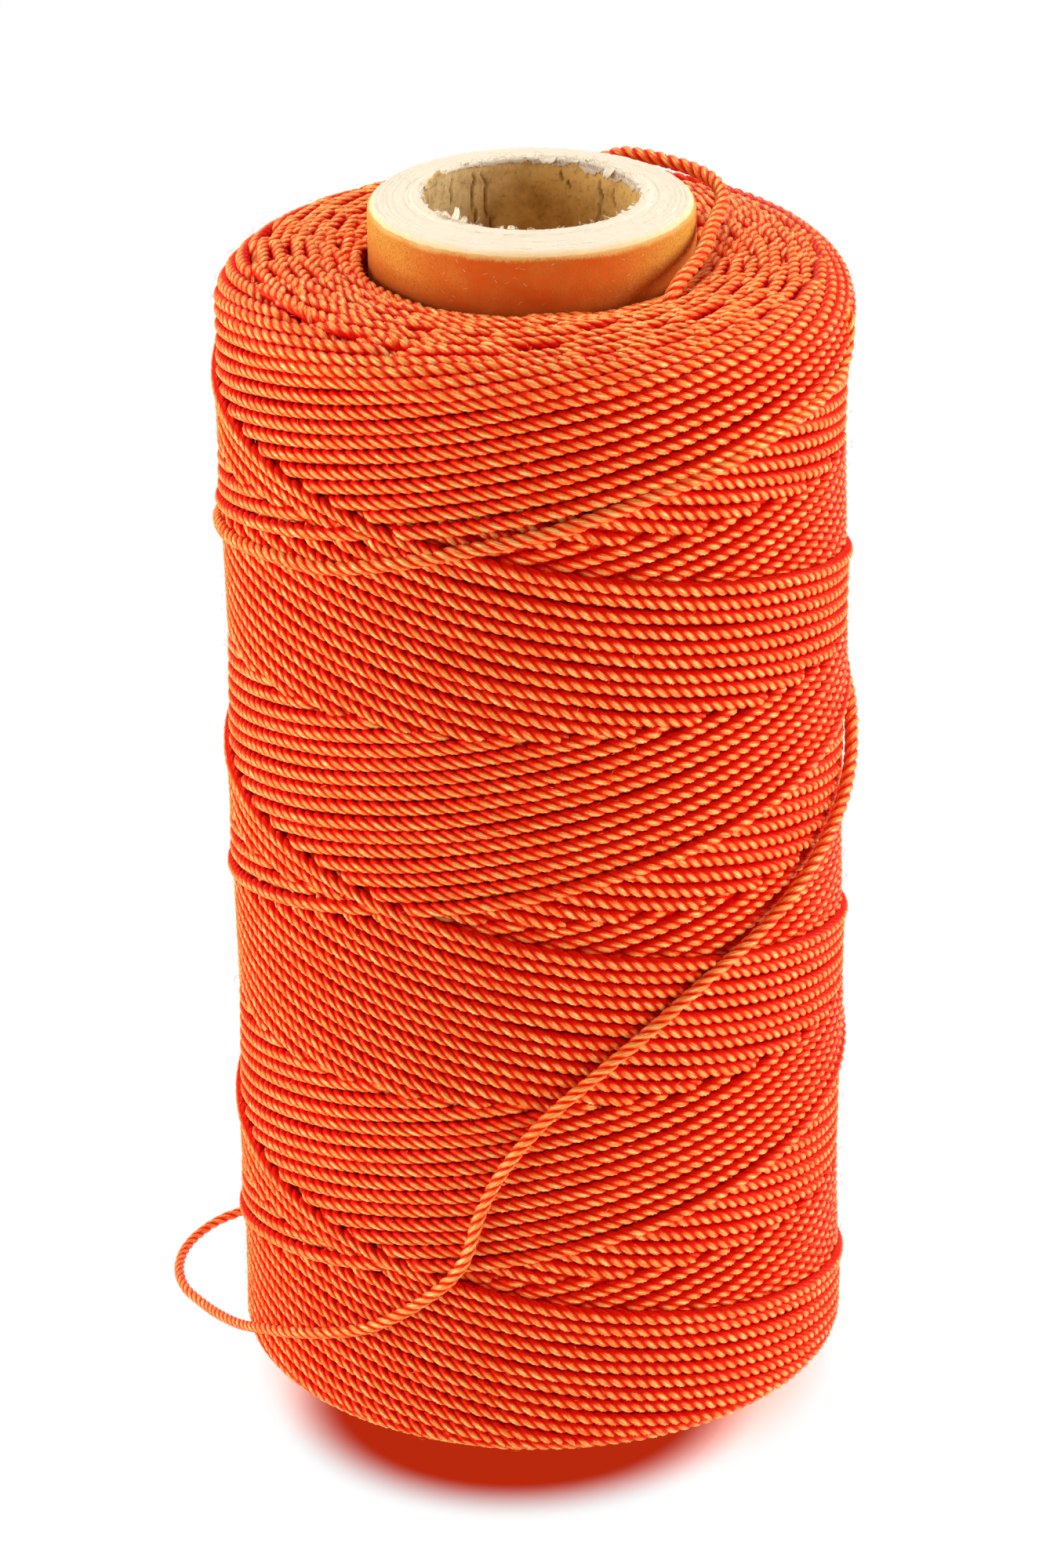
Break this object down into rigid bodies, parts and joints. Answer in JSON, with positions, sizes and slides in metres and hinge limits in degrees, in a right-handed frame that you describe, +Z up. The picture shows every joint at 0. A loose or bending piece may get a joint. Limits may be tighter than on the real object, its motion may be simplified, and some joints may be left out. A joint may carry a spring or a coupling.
{
  "type": "thread spool",
  "caption": "Paper tube cross-wound with thick twisted thread, with a slack turn on top and a free tail; its bore goes over a spindle.",
  "frame": {"origin": "on the tube's axis, in the plane that its lower end stands on", "axes": "+Z up along the tube's axis, -Y towards the side where the free tail hangs down, +X to the right seen from that side"},
  "size_m": [0.0575, 0.053, 0.1016],
  "materials": {
    "tube_liner": "matte",
    "tube_board": "matte",
    "tube_wrap": "satin",
    "inner_thread": "matte",
    "thread": "satin"
  },
  "bodies": {
    "root": {"core_liner_ply": "tube_liner", "core_board_plies": "tube_board", "core_outer_wrap": "tube_wrap", "thread_under_layers": "inner_thread", "thread_outer_winding": "thread", "thread_crossing_turn": "thread", "thread_slack_turn": "thread", "thread_free_tail": "thread"}
  },
  "joints": []
}
